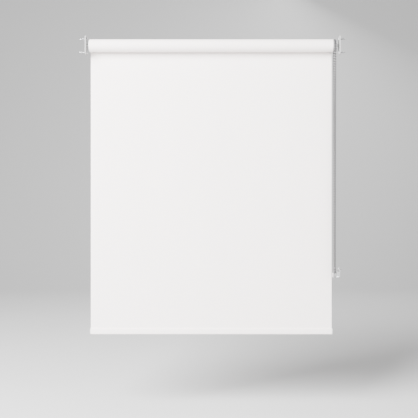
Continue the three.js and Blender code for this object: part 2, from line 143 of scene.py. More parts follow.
class BlindStageSettings(bpy.types.PropertyGroup):
    """The floor, the lights and the camera"""

    distance: size("Distance", "Distance from the camera to the roller's axis", 1.835)
    eye: size("Eye", "How far the camera is below the roller's axis", 0.377)
    lens: bpy.props.FloatProperty(
        name="Lens", description="Focal length of the camera", default=67.97, min=1,
        subtype="DISTANCE_CAMERA", unit="CAMERA",
    )
    floor: size("Floor", "How far the floor is below the roller's axis", 0.86)
    grey: colour("Floor colour", "Colour of the floor and the backdrop", (0.44, 0.44, 0.44))
    key: bpy.props.FloatProperty(
        name="Key light", description="Power of the large light", default=310, min=0,
        subtype="POWER", unit="POWER",
    )
    fill: bpy.props.FloatProperty(
        name="Fill light", description="Power of the fill light", default=60, min=0,
        subtype="POWER", unit="POWER",
    )
    sky: bpy.props.FloatProperty(
        name="Surround", description="Strength of the light from all round", default=0.7, min=0
    )


# ---- shaping ----


def clear():
    """Leaves nothing selected."""
    if bpy.context.mode != "OBJECT":
        bpy.ops.object.mode_set(mode="OBJECT")
    bpy.ops.object.select_all(action="DESELECT")


def only(piece):
    """Makes one piece the selected and active one."""
    clear()
    piece.select_set(True)
    bpy.context.view_layer.objects.active = piece


def take(name):
    """Names the primitive that was just added."""
    piece = bpy.context.object
    piece.name = piece.data.name = name
    return piece


def choose(piece, kind, wanted):
    """In edit mode, selects only what passes the test: wanted(place) for a vertex or an edge,
    wanted(place, normal) for a face."""
    bpy.ops.mesh.select_all(action="DESELECT")
    bpy.ops.mesh.select_mode(type=kind)
    mesh = bmesh.from_edit_mesh(piece.data)
    mesh.normal_update()
    if kind == "VERT":
        for vertex in mesh.verts:
            vertex.select = wanted(vertex.co)
    elif kind == "EDGE":
        for edge in mesh.edges:
            edge.select = wanted((edge.verts[0].co + edge.verts[1].co) / 2)
    else:
        for face in mesh.faces:
            face.select = wanted(face.calc_center_median(), face.normal)
    mesh.select_flush_mode()
    bmesh.update_edit_mesh(piece.data)


def modify(piece, kind, **settings):
    """Adds a modifier and applies it."""
    only(piece)
    modifier = piece.modifiers.new(kind.title(), kind)
    for key, value in settings.items():
        setattr(modifier, key, value)
    bpy.ops.object.modifier_apply(modifier=modifier.name)


def soften(piece, width, angle=35, segments=2):
    """Rounds the sharp edges, and drops the slivers that this leaves in tight corners."""
    modify(
        piece, "BEVEL", width=width, segments=segments, limit_method="ANGLE",
        angle_limit=math.radians(angle), use_clamp_overlap=True,
    )
    bpy.ops.object.mode_set(mode="EDIT")
    bpy.ops.mesh.select_all(action="SELECT")
    bpy.ops.mesh.remove_doubles(threshold=SLIVER)
    bpy.ops.mesh.dissolve_degenerate(threshold=SLIVER)
    bpy.ops.mesh.select_all(action="SELECT")
    bpy.ops.mesh.delete_loose()
    bpy.ops.mesh.select_all(action="SELECT")
    bpy.ops.mesh.fill_holes(sides=0)
    bpy.ops.object.mode_set(mode="OBJECT")


def combine(piece, tool, operation):
    """Adds the tool to the piece, or cuts it away, and removes the tool."""
    modify(piece, "BOOLEAN", operation=operation, solver="EXACT", object=tool)
    bpy.data.objects.remove(tool)


def tidy(piece):
    """Joins doubled points and turns the faces outwards."""
    only(piece)
    bpy.ops.object.mode_set(mode="EDIT")
    bpy.ops.mesh.select_all(action="SELECT")
    bpy.ops.mesh.remove_doubles(threshold=SAME_POINT)
    bpy.ops.mesh.normals_make_consistent(inside=False)
    bpy.ops.object.mode_set(mode="OBJECT")


def close_ends(piece):
    """Fills the open ends of a coiled or threaded shape."""
    only(piece)
    bpy.ops.object.mode_set(mode="EDIT")
    bpy.ops.mesh.select_all(action="SELECT")
    bpy.ops.mesh.remove_doubles(threshold=SAME_POINT)
    bpy.ops.mesh.select_all(action="DESELECT")
    bpy.ops.mesh.select_mode(type="EDGE")
    bpy.ops.mesh.select_non_manifold()
    bpy.ops.mesh.fill_holes(sides=0)
    bpy.ops.object.mode_set(mode="OBJECT")
    tidy(piece)


def spun(name, section, steps=48):
    """A closed section of (x, radius) points, spun about the roller's axis."""
    clear()
    bpy.ops.mesh.primitive_circle_add(vertices=len(section), radius=0.01)
    piece = take(name)
    for vertex, (x, radius) in zip(piece.data.vertices, section):
        vertex.co = (x, 0, radius)
    bpy.ops.object.mode_set(mode="EDIT")
    bpy.ops.mesh.select_all(action="SELECT")
    bpy.ops.mesh.spin(steps=steps, angle=2 * math.pi, center=(0, 0, 0), axis=(1, 0, 0))
    bpy.ops.object.mode_set(mode="OBJECT")
    tidy(piece)
    return piece


def rod(name, x0, x1, radius, place=(0, 0), sides=48):
    """A cylinder along the roller."""
    clear()
    bpy.ops.mesh.primitive_cylinder_add(
        vertices=sides, radius=radius, depth=x1 - x0, rotation=(0, math.pi / 2, 0),
        location=((x0 + x1) / 2, *place),
    )
    return take(name)


def block(name, low, high):
    """A box between two corners."""
    clear()
    bpy.ops.mesh.primitive_cube_add(
        size=1, location=[(a + b) / 2 for a, b in zip(low, high)],
        scale=[b - a for a, b in zip(low, high)],
    )
    return take(name)


def softened_copy(name, node, width, angle=35, segments=2):
    """A frame node's shape with its flat faces joined up and its edges rounded."""
    piece = bpy.data.objects.new(name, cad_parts[node].data.copy())
    piece.data.name = name
    piece.data.materials.clear()
    bpy.context.scene.collection.objects.link(piece)
    only(piece)
    bpy.ops.mesh.customdata_custom_splitnormals_clear()
    bpy.ops.object.mode_set(mode="EDIT")
    bpy.ops.mesh.select_all(action="SELECT")
    bpy.ops.mesh.remove_doubles(threshold=SAME_POINT)
    bpy.ops.mesh.dissolve_limited(angle_limit=math.radians(0.5))
    bpy.ops.object.mode_set(mode="OBJECT")
    soften(piece, width, angle, segments)
    return piece


def finish(piece, body, slot, material, *nodes, angle=35):
    """Settles a piece in its place, gives it its finish and sets it on its body."""
    only(piece)
    bpy.ops.object.transform_apply(location=True, rotation=True, scale=True)
    bpy.ops.object.shade_smooth_by_angle(angle=math.radians(angle))
    piece.data.materials.clear()
    piece.data.materials.append(material)
    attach(piece, body)
    if nodes:
        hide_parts(*nodes)
    return piece


def dress(material, *nodes):
    """Gives frame nodes that stay in view their finish."""
    for node in nodes:
        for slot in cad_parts[node].material_slots:
            slot.material = material


# ---- finishes ----


def add(tree, kind, inputs=None, **settings):
    """Adds a node, sets it, and feeds its inputs with values or other nodes' outputs."""
    made = tree.nodes.new("ShaderNode" + kind)
    for key, value in settings.items():
        setattr(made, key, value)
    for key, value in (inputs or {}).items():
        if isinstance(value, bpy.types.NodeSocket):
            tree.links.new(value, made.inputs[key])
        else:
            made.inputs[key].default_value = value
    return made


def sum_of(tree, operation, a, b=0.0, c=0.0, clamp=False):
    """One step of arithmetic."""
    return add(
        tree, "Math", {0: a, 1: b, 2: c}, operation=operation, use_clamp=clamp
    ).outputs[0]


def mixed(tree, share, a, b):
    """A colour between two colours."""
    return add(tree, "Mix", {0: share, 6: a, 7: b}, data_type="RGBA").outputs[2]


def shade_of(base, factor):
    """A lighter or darker shade of a colour."""
    return (*(min(1.0, part * factor) for part in base), 1.0)


def new_finish(name, **sockets):
    """A material, its node tree and its shader, with values that are the same all over."""
    material = bpy.data.materials.new(name)
    material.use_nodes = True
    tree = material.node_tree
    shader = tree.nodes["Principled BSDF"]
    for key, value in sockets.items():
        shader.inputs[key.replace("_", " ")].default_value = value
    return material, tree, shader


def noise(tree, where, scale, detail=2.0, rough=0.5, stretch=None):
    """Noise over a place, drawn out along an axis by a small stretch factor."""
    if stretch:
        where = add(tree, "Mapping", {"Vector": where, "Scale": stretch}).outputs[0]
    inputs = {"Vector": where, "Scale": scale, "Detail": detail, "Roughness": rough}
    return add(tree, "TexNoise", inputs).outputs["Fac"]


def bumped(tree, shader, height, depth, strength=1.0):
    """Raises and lowers the surface by a height from 0 to 1 times a depth."""
    inputs = {"Height": height, "Distance": depth, "Strength": strength}
    made = add(tree, "Bump", inputs)
    tree.links.new(made.outputs[0], shader.inputs["Normal"])


def ranged(tree, value, low, high):
    """A value from 0 to 1 spread over a range."""
    inputs = {"Value": value, "To Min": low, "To Max": high}
    return add(tree, "MapRange", inputs).outputs[0]


def moulded(name, base, roughness=0.38, grain=0.00002, flow=0.05, **sockets):
    """Moulded plastic: a fine even grain, faint flow clouds and a handled gloss."""
    material, tree, shader = new_finish(name, **{"Specular_IOR_Level": 0.45, **sockets})
    where = add(tree, "TexCoord").outputs["Object"]
    clouds = noise(tree, where, 60, 3, 0.55)
    fine = noise(tree, where, 4200, 2, 0.6)
    tint = mixed(tree, clouds, shade_of(base, 1 - flow), shade_of(base, 1 + flow))
    tree.links.new(tint, shader.inputs["Base Color"])
    grained = ranged(tree, fine, roughness - 0.05, roughness + 0.05)
    gloss = sum_of(tree, "ADD", ranged(tree, clouds, -0.06, 0.06), grained)
    tree.links.new(gloss, shader.inputs["Roughness"])
    bumped(tree, shader, fine, grain)
    return material


def painted(name, base):
    """Powder paint on steel: a soft orange peel with a few pin holes."""
    material, tree, shader = new_finish(name, Specular_IOR_Level=0.5)
    where = add(tree, "TexCoord").outputs["Object"]
    peel = noise(tree, where, 850, 1.5, 0.45)
    specks = add(tree, "TexVoronoi", {"Vector": where, "Scale": 620}).outputs["Distance"]
    pits = ranged(tree, sum_of(tree, "LESS_THAN", specks, 0.09), 0, 0.35)
    patches = noise(tree, where, 45, 3)
    tint = mixed(tree, patches, shade_of(base, 0.96), shade_of(base, 1.03))
    tree.links.new(mixed(tree, pits, tint, shade_of(base, 0.6)), shader.inputs["Base Color"])
    tree.links.new(ranged(tree, peel, 0.30, 0.46), shader.inputs["Roughness"])
    bumped(tree, shader, sum_of(tree, "SUBTRACT", peel, pits), 0.00006)
    return material


def plated(name, base, roughness=0.32, stretch=(1, 1, 1)):
    """Plated steel: crystal patches under fine drawing lines."""
    material, tree, shader = new_finish(name, Metallic=1.0)
    where = add(tree, "TexCoord").outputs["Object"]
    patches = add(tree, "TexVoronoi", {"Vector": where, "Scale": 900}).outputs["Color"]
    grey = add(tree, "SeparateColor", {0: patches}).outputs[0]
    lines = noise(tree, where, 1800, 3, 0.6, stretch)
    tint = mixed(tree, grey, shade_of(base, 0.93), shade_of(base, 1.06))
    tree.links.new(tint, shader.inputs["Base Color"])
    tree.links.new(ranged(tree, lines, roughness - 0.1, roughness + 0.14), shader.inputs["Roughness"])
    bumped(tree, shader, lines, 0.00002)
    return material


def extruded(name, base):
    """Mill-finish aluminium: die lines along the profile and a few handling marks."""
    material, tree, shader = new_finish(name, Metallic=1.0)
    where = add(tree, "TexCoord").outputs["Object"]
    lines = noise(tree, where, 2400, 3, 0.65, (0.004, 1, 1))
    patches = noise(tree, where, 30, 4)
    tint = mixed(tree, patches, shade_of(base, 0.9), shade_of(base, 1.08))
    tree.links.new(tint, shader.inputs["Base Color"])
    gloss = sum_of(tree, "ADD", ranged(tree, lines, 0.26, 0.44), ranged(tree, patches, -0.04, 0.04))
    tree.links.new(gloss, shader.inputs["Roughness"])
    bumped(tree, shader, lines, 0.00003)
    return material


def woven(name, cloth, seam=True):
    """Plain-woven polyester on the piece's UV map, whose unit is the metre. v is 0 along the weld."""
    sockets = {"Specular_IOR_Level": 0.25, "Sheen_Weight": 0.15, "Sheen_Roughness": 0.4}
    material, tree, shader = new_finish(name, **sockets)
    where = add(tree, "UVMap", uv_map="UVMap").outputs[0]
    threads = add(
        tree, "Mapping", {"Vector": where, "Scale": (1 / cloth.thread, 1 / cloth.thread, 1)}
    ).outputs[0]
    parts = add(tree, "SeparateXYZ", {0: threads})
    warp, weft = (
        sum_of(tree, "ABSOLUTE", sum_of(tree, "SINE", sum_of(tree, "MULTIPLY", parts.outputs[i], math.pi)))
        for i in (0, 1)
    )
    over = add(tree, "TexChecker", {"Vector": threads, "Scale": 1.0}).outputs["Fac"]
    gap = sum_of(tree, "SUBTRACT", 1.0, over)
    weave = sum_of(
        tree, "MULTIPLY_ADD", over, warp, sum_of(tree, "MULTIPLY", gap, weft)
    )
    slubs = noise(tree, where, 900, 3, 0.6, (0.045, 1, 1))
    streaks = noise(tree, where, 700, 2, 0.5, (1, 0.012, 1))
    clouds = noise(tree, where, 9, 2, 0.5)
    tone = sum_of(tree, "ADD", ranged(tree, slubs, -0.35, 0.35), ranged(tree, streaks, -0.25, 0.25))
    tone = sum_of(tree, "ADD", tone, ranged(tree, clouds, -0.25, 0.25))
    tone = sum_of(tree, "ADD", tone, ranged(tree, weave, 0.38, 0.62), clamp=True)
    base = cloth.colour
    tint = mixed(tree, tone, shade_of(base, 0.95), shade_of(base, 1.035))
    height = sum_of(tree, "ADD", weave, ranged(tree, slubs, -0.8, 0.8))
    gloss = ranged(tree, weave, 0.78, 0.66)
    if seam:
        along = add(tree, "SeparateXYZ", {0: where}).outputs[1]
        inputs = {
            "Value": sum_of(tree, "ABSOLUTE", along),
            "From Min": 0.4 * cloth.weld,
            "From Max": 0.55 * cloth.weld,
            "To Min": 1.0,
            "To Max": 0.0,
        }
        weld = add(tree, "MapRange", inputs, interpolation_type="SMOOTHSTEP").outputs[0]
        tint = mixed(tree, sum_of(tree, "MULTIPLY", weld, 0.8), tint, shade_of(base, 1.06))
        height = sum_of(tree, "MULTIPLY", height, ranged(tree, weld, 1.0, 0.3))
        gloss = sum_of(tree, "SUBTRACT", gloss, ranged(tree, weld, 0.0, 0.25))
    tree.links.new(tint, shader.inputs["Base Color"])
    tree.links.new(gloss, shader.inputs["Roughness"])
    bumped(tree, shader, height, 0.00004, 0.8)
    return material


def clear_plastic(name, base):
    """Clear plastic with flow clouds and light rub marks."""
    material, tree, shader = new_finish(name, Transmission_Weight=0.75, IOR=1.49)
    where = add(tree, "TexCoord").outputs["Object"]
    clouds = noise(tree, where, 90, 3)
    rubs = noise(tree, where, 700, 4, 0.7, (1, 0.15, 1))
    tint = mixed(tree, clouds, shade_of(base, 0.95), shade_of(base, 1.05))
    tree.links.new(tint, shader.inputs["Base Color"])
    tree.links.new(ranged(tree, rubs, 0.04, 0.15), shader.inputs["Roughness"])
    bumped(tree, shader, rubs, 0.00001)
    return material


# ---- the chain's loop ----


def chain_loop(chain):
    """The radius of the wheel's bead circle, the lean of the strands and the depth of the lower bend."""
    wheel = chain.pockets * chain.pitch / (2 * math.pi)
    whole = chain.beads * chain.pitch
    depth, lean = whole / 2, 0.0
    for _ in range(8):
        lean = math.asin((wheel - chain.bend) / depth)
        bends = wheel * (math.pi + 2 * lean) + chain.bend * (math.pi - 2 * lean)
        strand = (whole - bends) / 2
        depth = math.hypot(strand, wheel - chain.bend)
    return wheel, lean, depth


def chain_point(chain, length):
    """The point that far along the loop from its top, going down the window side first."""
    wheel, lean, depth = chain_loop(chain)
    first = wheel * (math.pi / 2 + lean)
    strand = depth * math.cos(lean)
    lower = chain.bend * (math.pi - 2 * lean)

    def on_circle(radius, z, angle):
        return Vector((CHAIN_X, radius * math.cos(angle), z + radius * math.sin(angle)))

    if length < first:
        return on_circle(wheel, 0, math.pi / 2 - length / wheel)
    length -= first
    if length < strand:
        top, foot = on_circle(wheel, 0, -lean), on_circle(chain.bend, -depth, -lean)
        return top.lerp(foot, length / strand)
    length -= strand
    if length < lower:
        return on_circle(chain.bend, -depth, -lean - length / chain.bend)
    length -= lower
    if length < strand:
        foot = on_circle(chain.bend, -depth, math.pi + lean)
        return foot.lerp(on_circle(wheel, 0, math.pi + lean), length / strand)
    return on_circle(wheel, 0, math.pi + lean - (length - strand) / wheel)


# ---- operators ----


class BLIND_OT_stage(bpy.types.Operator):
    """Make the floor, the backdrop, the lights and the camera"""

    bl_idname = "blind.stage"
    bl_label = "Stage"

    def execute(self, context):
        stage = context.scene.blind_stage
        wide, long = 40, 18
        backdrop_y, backdrop_height = 2.8, 7
        clear()
        bpy.ops.mesh.primitive_plane_add(
            size=1, location=(CLOTH_MIDDLE_X, backdrop_y - long / 2, -stage.floor)
        )
        floor = take("floor")
        floor.scale = (wide, long, 1)
        bpy.ops.object.transform_apply(location=True, rotation=True, scale=True)
        bpy.ops.object.mode_set(mode="EDIT")
        choose(floor, "EDGE", lambda place: place.y > backdrop_y - 0.1)
        bpy.ops.mesh.extrude_region_move(TRANSFORM_OT_translate={"value": (0, 0, backdrop_height)})
        bpy.ops.object.mode_set(mode="OBJECT")
        bpy.ops.object.shade_smooth()
        material, tree, shader = new_finish("floor_paint", Roughness=0.9)
        patches = noise(tree, add(tree, "TexCoord").outputs["Object"], 3, 3)
        tint = mixed(tree, patches, shade_of(stage.grey, 0.985), shade_of(stage.grey, 1.015))
        tree.links.new(tint, shader.inputs["Base Color"])
        floor.data.materials.append(material)

        world = bpy.data.worlds.new("surround")
        world.use_nodes = True
        sky = world.node_tree.nodes["Background"]
        sky.inputs["Color"].default_value = (1.0, 0.995, 0.99, 1.0)
        sky.inputs["Strength"].default_value = stage.sky
        context.scene.world = world

        centre = Vector((CLOTH_MIDDLE_X, 0, PANEL_LOW.z / 2))
        # each light's name, place, power and width
        for name, place, power, width in (
            ("key", (-1.4, -1.5, 0.52), stage.key, 1.3),
            ("fill", (1.9, -1.8, 0.2), stage.fill, 1.8),
            ("back", (0.6, 2.1, 1.5), stage.fill, 1.4),
        ):
            light = bpy.data.lights.new(name, "AREA")
            light.energy, light.size = power, width
            lamp = bpy.data.objects.new(name, light)
            lamp.location = place
            lamp.rotation_euler = (centre - lamp.location).to_track_quat("-Z", "Y").to_euler()
            context.scene.collection.objects.link(lamp)

        lens = bpy.data.cameras.new("camera")
        lens.sensor_width = 36
        lens.lens = stage.lens
        lens.shift_x, lens.shift_y = -0.00897, -0.0024
        lens.clip_start, lens.clip_end = 0.01, 50
        camera = bpy.data.objects.new("camera", lens)
        camera.location = (RECESS_MIDDLE_X, -stage.distance, -stage.eye)
        camera.rotation_euler = (math.pi / 2, 0, 0)
        context.scene.collection.objects.link(camera)
        context.scene.camera = camera
        return {"FINISHED"}


class BLIND_OT_chain(bpy.types.Operator):
    """Make the closed bead chain that hangs on the chain wheel"""

    bl_idname = "blind.chain"
    bl_label = "Bead Chain"

    def execute(self, context):
        chain = context.scene.blind_chain
        clear()
        bpy.ops.mesh.primitive_uv_sphere_add(segments=10, ring_count=6, radius=chain.bead / 2)
        bead = take("bead")
        bpy.ops.object.mode_set(mode="EDIT")
        choose(bead, "VERT", lambda place: abs(place.z) > 0.49 * chain.bead)
        bpy.ops.transform.resize(value=(1, 1, 0.97))
        bpy.ops.object.mode_set(mode="OBJECT")
        bpy.ops.mesh.primitive_cylinder_add(
            vertices=6, radius=chain.cord / 2, depth=chain.pitch - 0.7 * chain.bead,
            location=(0, 0, chain.pitch / 2),
        )
        cord = take("cord")
        bead.select_set(True)
        context.view_layer.objects.active = bead
        bpy.ops.object.join()
        shape = bead.data
        points, faces = [], []
        for i in range(chain.beads):
            here = chain_point(chain, i * chain.pitch)
            there = chain_point(chain, (i + 1) % chain.beads * chain.pitch)
            turn = (there - here).to_track_quat("Z", "X").to_matrix()
            first = len(points)
            points += [turn @ vertex.co + here for vertex in shape.vertices]
            faces += [[first + corner for corner in face.vertices] for face in shape.polygons]
        mesh = bpy.data.meshes.new("bead_chain")
        mesh.from_pydata(points, [], faces)
        piece = bpy.data.objects.new("bead_chain", mesh)
        context.scene.collection.objects.link(piece)
        bpy.data.objects.remove(bead)
        material = moulded("chain_plastic", chain.colour, roughness=0.33, grain=0.00001, flow=0.04)
        finish(piece, "mounting", "chain_plastic", material, "chain", angle=80)
        whole = chain.beads * chain.pitch
        steps = 3 * chain.beads
        path = [chain_point(chain, i / steps * (whole - chain.pitch)) for i in range(steps + 1)]
        return {"FINISHED"}


class BLIND_OT_connector(bpy.types.Operator):
    """Make the snap connector that closes the chain"""

    bl_idname = "blind.connector"
    bl_label = "Connector"

    def execute(self, context):
        chain = context.scene.blind_chain
        lean = chain_loop(chain)[1]
        centre = (LINK_LOW + LINK_HIGH) / 2
        half, radius, wall = 0.0065, 0.0034, 0.00085
        hole = radius - wall
        nose_start, nose_middle = half - 0.0014, half - 0.0005
        nose_shoulder, nose_rim = radius - 0.0002, radius - 0.0006
        groove = 0.0003
        section = [
            (-half, hole), (half, hole), (half, nose_rim), (nose_middle, nose_shoulder),
            (nose_start, radius), (groove, radius), (groove, radius - groove),
            (-groove, radius - groove), (-groove, radius), (-nose_start, radius),
            (-nose_middle, nose_shoulder), (-half, nose_rim),
        ]
        piece = spun("chain_connector_shell", section, steps=32)
        past, slot_half, slot_depth = 0.001, 0.0009, 0.006
        slot = block("slot", (-half - past, -slot_half, -slot_depth), (half + past, slot_half, 0))
        combine(piece, slot, "DIFFERENCE")
        soften(piece, 0.00008, angle=40)
        piece.rotation_euler = (0, math.pi / 2, 0)
        bpy.ops.object.transform_apply(rotation=True)
        slot_faces = math.radians(60)
        piece.rotation_euler = (0, 0, slot_faces)
        bpy.ops.object.transform_apply(rotation=True)
        piece.rotation_euler = (-lean, 0, 0)
        piece.location = centre
        material = moulded("connector_plastic", chain.connector, roughness=0.30, grain=0.00001)
        finish(piece, "connector", "connector_plastic", material, "chain_connector")
        return {"FINISHED"}


class BLIND_OT_safety_clip(bpy.types.Operator):
    """Make the clip that holds the chain's lower bend to the wall"""

    bl_idname = "blind.safety_clip"
    bl_label = "Safety Clip"

    def execute(self, context):
        fitting = context.scene.blind_fittings
        piece = softened_copy("chain_safety_clip", "safety_clip", fitting.moulding)
        material = clear_plastic("clip_plastic", fitting.clip)
        finish(piece, "mounting", "clip_plastic", material, "safety_clip")
        return {"FINISHED"}


class BLIND_OT_wheel(bpy.types.Operator):
    """Make the pocketed wheel that the chain turns"""

    bl_idname = "blind.wheel"
    bl_label = "Chain Wheel"

    def execute(self, context):
        fitting = context.scene.blind_fittings
        piece = softened_copy("pocketed_wheel", "chain_wheel", fitting.moulding)
        material = moulded("wheel_plastic", fitting.wheel, roughness=0.36)
        finish(piece, "wheel", "wheel_plastic", material, "chain_wheel")
        return {"FINISHED"}


class BLIND_OT_clutch(bpy.types.Operator):
    """Make the clutch between the wheel and the tube"""

    bl_idname = "blind.clutch"
    bl_label = "Clutch"

    def execute(self, context):
        fitting = context.scene.blind_fittings
        hub = softened_copy("clutch_drum", "clutch_hub", fitting.moulding)
        pale = moulded("hub_plastic", fitting.plastic, roughness=0.34)
        finish(hub, "mounting", "hub_plastic", pale, "clutch_hub")
        crown = softened_copy("clutch_crown", "drive_crown", fitting.moulding)
        dark = moulded("clutch_plastic", fitting.dark_plastic, roughness=0.42)
        finish(crown, "roller", "clutch_plastic", dark, "drive_crown")
        dress(moulded("hub_clip_plastic", fitting.dark_plastic, roughness=0.4), "hub_clip")
        wire = plated("spring_steel", fitting.steel, roughness=0.28, stretch=(0.2, 1, 1))
        dress(wire, "wrap_spring_1", "wrap_spring_2", "wrap_spring_3")
        return {"FINISHED"}


class BLIND_OT_brackets(bpy.types.Operator):
    """Make the two painted brackets"""

    bl_idname = "blind.brackets"
    bl_label = "Brackets"

    def execute(self, context):
        fitting = context.scene.blind_fittings
        # The grey of this paint is painted shade: the white brackets are darkened as if in the recess's
        # shade.
        paint = painted("white_paint", fitting.paint)
        thick, half_y, half_z = 0.0016, PLATE_HIGH.y, PLATE_HIGH.z
        stub_half, boss_radius, socket_radius, socket_floor = 0.003, 0.0055, 0.00275, 0.0002
        hole_radius, hole_z, past, corner = 0.00205, 0.0155, 0.001, 0.001
        for name, node, x0 in (
            ("drive_plate", "drive_bracket", PLATE_HIGH.x - thick),
            ("idle_plate", "idle_bracket", IDLE_LOW.x),
        ):
            piece = block(name, (x0, -half_y, -half_z), (x0 + thick, half_y, half_z))
            bpy.ops.object.transform_apply(location=True, scale=True)
            bpy.ops.object.mode_set(mode="EDIT")
            choose(
                piece, "EDGE",
                lambda place: abs(place.y) > half_y - corner and abs(place.z) > half_z - corner,
            )
            bpy.ops.mesh.bevel(offset=fitting.plate_corner, segments=8, affect="EDGES")
            bpy.ops.object.mode_set(mode="OBJECT")
            if node == "drive_bracket":
                low = (PLATE_LOW.x, -stub_half, -stub_half)
                high = (x0 + thick / 2, stub_half, stub_half)
                combine(piece, block("stub", low, high), "UNION")
            else:
                combine(piece, rod("boss", x0 + thick / 2, IDLE_HIGH.x, boss_radius), "UNION")
                foot = x0 + thick + socket_floor
                socket = rod("socket", foot, IDLE_HIGH.x + past, socket_radius)
                combine(piece, socket, "DIFFERENCE")
            for z in (-hole_z, hole_z):
                ends = (x0 - past, x0 + thick + past)
                hole = rod("hole", *ends, hole_radius, place=(0, z), sides=32)
                combine(piece, hole, "DIFFERENCE")
            soften(piece, fitting.rounding, angle=40)
            finish(piece, "mounting", "white_paint", paint, node)
        return {"FINISHED"}


class BLIND_OT_screws(bpy.types.Operator):
    """Make one pan-head screw with a cross recess and copy it to the five holes"""

    bl_idname = "blind.screws"
    bl_label = "Screws"

    def execute(self, context):
        fitting = context.scene.blind_fittings
        steel = plated("screw_steel", fitting.steel, roughness=0.3)
        low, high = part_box("drive_screw_upper")
        head, tall = 0.0035, 0.0022
        shank, pitch, neck_length = 0.00172, 0.0013, 0.0016
        root = 0.72 * shank
        tip_length, point = 0.004, 0.0002
        cross_half, cross_slot, cross_depth = 0.0017, 0.00035, 0.0013
        past = 0.001
        length = high.x - low.x - tall
        pan_side = [(0, 0.35), (0.03, 0.62), (0.12, 0.8), (0.28, 0.92), (0.5, 0.985), (0.72, 1), (1, 1)]
        section = [(0, 0), *((tall * x, head * radius) for x, radius in pan_side), (tall, 0)]
        pan = spun("screw", section, steps=32)
        for turned in (0, math.pi / 2):
            bar = block(
                "cross", (-past, -cross_half, -cross_slot), (cross_depth, cross_half, cross_slot)
            )
            bpy.ops.object.transform_apply(location=True, scale=True)
            bar.rotation_euler = (turned, 0, 0)
            bpy.ops.object.transform_apply(rotation=True)
            combine(pan, bar, "DIFFERENCE")
        soften(pan, 0.00006, angle=50, segments=1)
        clear()
        turns = int((length - 0.75 * tip_length) / pitch)
        bpy.ops.mesh.primitive_circle_add(vertices=4, radius=0.001)
        thread = take("thread")
        outline = [(0, root), (pitch * 0.42, shank), (pitch * 0.58, shank), (pitch, root)]
        for vertex, (x, radius) in zip(thread.data.vertices, outline):
            vertex.co = (tall + neck_length / 2 + x, 0, radius)
        bpy.ops.object.mode_set(mode="EDIT")
        mesh = bmesh.from_edit_mesh(thread.data)
        mesh.verts.ensure_lookup_table()
        mesh.edges.remove(mesh.edges.get((mesh.verts[0], mesh.verts[3])))
        bmesh.update_edit_mesh(thread.data)
        bpy.ops.object.mode_set(mode="OBJECT")
        modify(
            thread, "SCREW", axis="X", screw_offset=pitch, iterations=turns, steps=20,
            render_steps=20, use_merge_vertices=True, merge_threshold=1e-6,
        )
        close_ends(thread)
        neck = rod("neck", tall - neck_length / 4, tall + neck_length, shank * 0.95, sides=24)
        clear()
        bpy.ops.mesh.primitive_cone_add(
            vertices=20, radius1=shank * 0.8, radius2=point, depth=tip_length,
            rotation=(0, math.pi / 2, 0), location=(tall + length - tip_length / 2, 0, 0),
        )
        tip = take("tip")
        for part in (thread, neck, tip, pan):
            part.select_set(True)
        context.view_layer.objects.active = pan
        bpy.ops.object.join()
        pan = context.object
        bpy.ops.object.transform_apply(location=True, rotation=True, scale=True)
        nodes = (
            "drive_screw_upper", "drive_screw_lower", "idle_screw_upper",
            "idle_screw_lower", "safety_clip_screw",
        )
        for turned, node in enumerate(nodes):
            low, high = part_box(node)
            away = "idle" in node
            screw = pan.copy()
            screw.data = pan.data.copy()
            screw.name = screw.data.name = "fixing_" + node
            context.scene.collection.objects.link(screw)
            place = Vector((high.x if away else low.x, 0, (low.z + high.z) / 2))
            facing = Matrix.Rotation(math.pi if away else 0, 4, "Z")
            driven = Matrix.Rotation(0.3 + 0.7 * turned, 4, "X")
            screw.data.transform(Matrix.Translation(place) @ facing @ driven)
            finish(screw, "mounting", "screw_steel", steel, node)
        bpy.data.objects.remove(pan)
        return {"FINISHED"}


def cloth_strip(name, line, columns, cloth, wave=None, top=0.0):
    """A strip of cloth that follows a line of (y, z) points, as wide as the blind. v in its UV map
    runs along the line and ends at top."""
    x0, x1 = PANEL_LOW.x, PANEL_HIGH.x
    xs = [x0 + CLOTH_WIDTH * i / columns for i in range(columns + 1)]
    if wave:
        near_edge = (0.002, 0.004, 0.007)
        xs[1:1] = [x0 + d for d in near_edge]
        xs[-1:-1] = [x1 - d for d in reversed(near_edge)]
    run = [0.0]
    for (y0, z0), (y1, z1) in zip(line, line[1:]):
        run.append(run[-1] + math.hypot(y1 - y0, z1 - z0))
    points = [
        (x, y + (wave(x, z) if wave else 0.0), z) for (y, z) in line for x in xs
    ]
    across = len(xs)
    faces = [
        (r * across + c, r * across + c + 1, (r + 1) * across + c + 1, (r + 1) * across + c)
        for r in range(len(line) - 1)
        for c in range(across - 1)
    ]
    mesh = bpy.data.meshes.new(name)
    mesh.from_pydata(points, [], faces)
    layer = mesh.uv_layers.new(name="UVMap")
    for loop in mesh.loops:
        row, column = divmod(loop.vertex_index, across)
        layer.data[loop.index].uv = (xs[column] - x0, top - run[row])
    piece = bpy.data.objects.new(name, mesh)
    bpy.context.scene.collection.objects.link(piece)
    modify(piece, "SOLIDIFY", thickness=cloth.thickness, offset=0.0, use_even_offset=True)
    return piece


